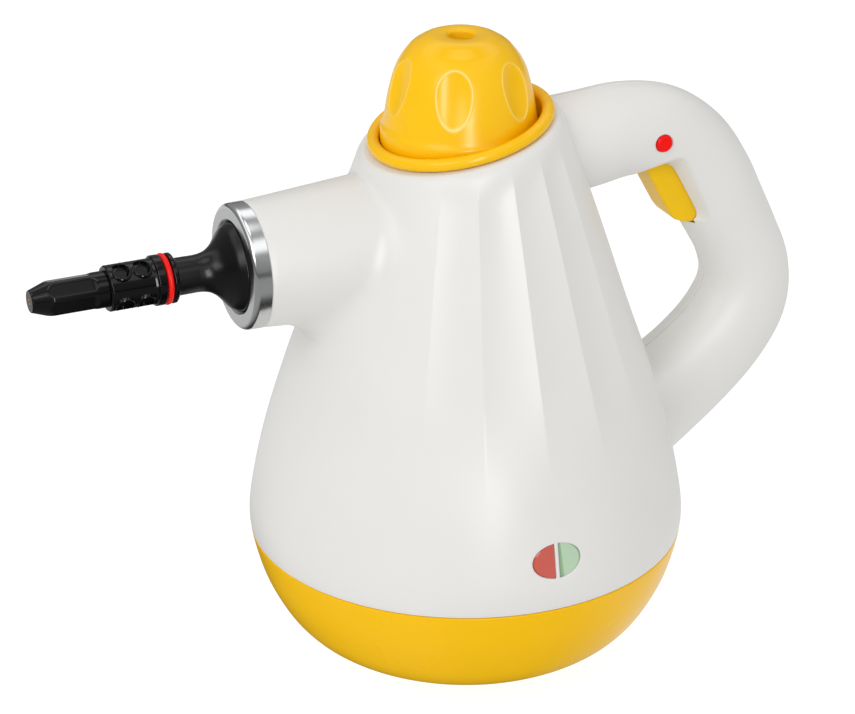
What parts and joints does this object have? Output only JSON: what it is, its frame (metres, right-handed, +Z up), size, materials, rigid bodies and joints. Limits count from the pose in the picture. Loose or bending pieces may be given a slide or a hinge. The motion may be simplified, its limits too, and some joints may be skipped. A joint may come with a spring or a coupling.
{
  "type": "wallpaper steamer",
  "caption": "Hand-held pressure steamer: pear-shaped boiler housing with slanted safety cap, spout with bayonet nozzle, D-handle with trigger and lock.",
  "frame": {"origin": "centre of the foot on the vertical axis of the pear-shaped housing, on the resting plane", "axes": "+Z up, spout and nozzle towards -X, handle towards +X, left side towards -Y"},
  "size_m": [0.2942, 0.1598, 0.236],
  "materials": {
    "white_plastic": "satin-gloss moulded",
    "yellow_plastic": "satin-gloss moulded",
    "trigger_yellow": "satin moulded",
    "black_plastic": "moulded",
    "black_gloss": "glossy moulded",
    "red_plastic": "glossy moulded",
    "natural_plastic": "moulded",
    "brown_plastic": "phenolic moulded",
    "ceramic_white": "glazed",
    "wire_insulation": "heat-resistant sleeve",
    "black_rubber": "moulded",
    "red_rubber": "moulded",
    "red_silicone": "sheet",
    "zinc_steel": "zinc plated",
    "spring_steel": "drawn wire",
    "element_sheath": "heat-darkened sheath",
    "chrome": "polished",
    "brass": "turned",
    "copper": "drawn tube",
    "cast_aluminium": "die-cast",
    "red_lens": "translucent moulded",
    "green_lens": "translucent moulded",
    "lamp_glass": "clear"
  },
  "bodies": {
    "housing": {"body_shell": "white_plastic", "base_bowl": "yellow_plastic", "rubber_feet": "black_rubber", "base_screws": "zinc_steel", "handle_left": "white_plastic", "handle_right": "white_plastic", "handle_screws": "zinc_steel", "collar_ring": "yellow_plastic", "boiler_upper": "cast_aluminium", "boiler_lower": "cast_aluminium", "boiler_gasket": "red_silicone", "boiler_bolts": "zinc_steel", "boiler_nuts": "zinc_steel", "boiler_screws": "zinc_steel", "heating_element": "element_sheath", "element_clamp": "zinc_steel", "clamp_nut": "zinc_steel", "thermostat": "brown_plastic", "thermal_fuse": "ceramic_white", "valve_body": "brass", "valve_cap": "brass", "valve_spring": "spring_steel", "steam_pipe": "copper", "steam_fitting": "brass", "chrome_ring": "chrome", "nozzle_bell": "black_gloss", "nozzle_coupling": "black_gloss", "nozzle_o_ring": "red_rubber", "nozzle_barrel": "black_gloss", "nozzle_jet": "brass", "trigger_pin": "spring_steel", "lamp_lens_red": "red_lens", "lamp_lens_green": "green_lens", "lamp_holder": "natural_plastic", "indicator_lamps": "lamp_glass", "mains_inlet": "black_plastic", "inlet_pins": "brass", "wiring": "wire_insulation"},
    "cap_seal_lift": {"cap_seal": "black_rubber"},
    "cap_screw": {"cap_plug": "black_plastic", "cap_spring": "spring_steel", "cap_circlip": "spring_steel", "relief_adjuster": "brass", "relief_spring": "spring_steel"},
    "cap_knob": {"cap_dome": "yellow_plastic"},
    "relief_valve": {"relief_pin": "brass"},
    "trigger": {"trigger": "trigger_yellow"},
    "steam_rod": {"pull_rod": "zinc_steel", "valve_stem": "spring_steel", "valve_seal": "black_rubber"},
    "lock": {"lock_button": "red_plastic"}
  },
  "joints": [
    {"name": "cap_lift", "type": "slide", "parent": "housing", "child": "cap_seal_lift", "axis": [0, 0, 1], "range_m": [0, 0.0091]},
    {"name": "cap_turn", "type": "hinge", "parent": "cap_seal_lift", "child": "cap_screw", "pos_m": [-0.0026, 0, 0.2], "axis": [0, 0, 1], "range_deg": [0, 810]},
    {"name": "cap_press", "type": "slide", "parent": "cap_screw", "child": "cap_knob", "axis": [0, 0, -1], "range_m": [0, 0.004], "stiffness_N_per_m": 400, "deforming": ["cap_spring"]},
    {"name": "relief_lift", "type": "slide", "parent": "cap_screw", "child": "relief_valve", "axis": [0, 0, 1], "range_m": [0, 0.002], "stiffness_N_per_m": 2000, "deforming": ["relief_spring"]},
    {"name": "trigger_pull", "type": "hinge", "parent": "housing", "child": "trigger", "pos_m": [0.066, 0, 0.199], "axis": [0, -1, 0], "range_deg": [0, 6]},
    {"name": "rod_pull", "type": "slide", "parent": "housing", "child": "steam_rod", "axis": [1, 0, 0], "range_m": [0, 0.00192], "deforming": ["valve_spring"]},
    {"name": "lock_push", "type": "slide", "parent": "housing", "child": "lock", "axis": [0, 1, 0], "range_m": [0, 0.003]}
  ],
  "couplings": [
    {"joint": "cap_lift", "follows": "cap_turn", "m_per_rad": 0.00063662},
    {"joint": "rod_pull", "follows": "trigger_pull", "m_per_rad": 0.018}
  ]
}
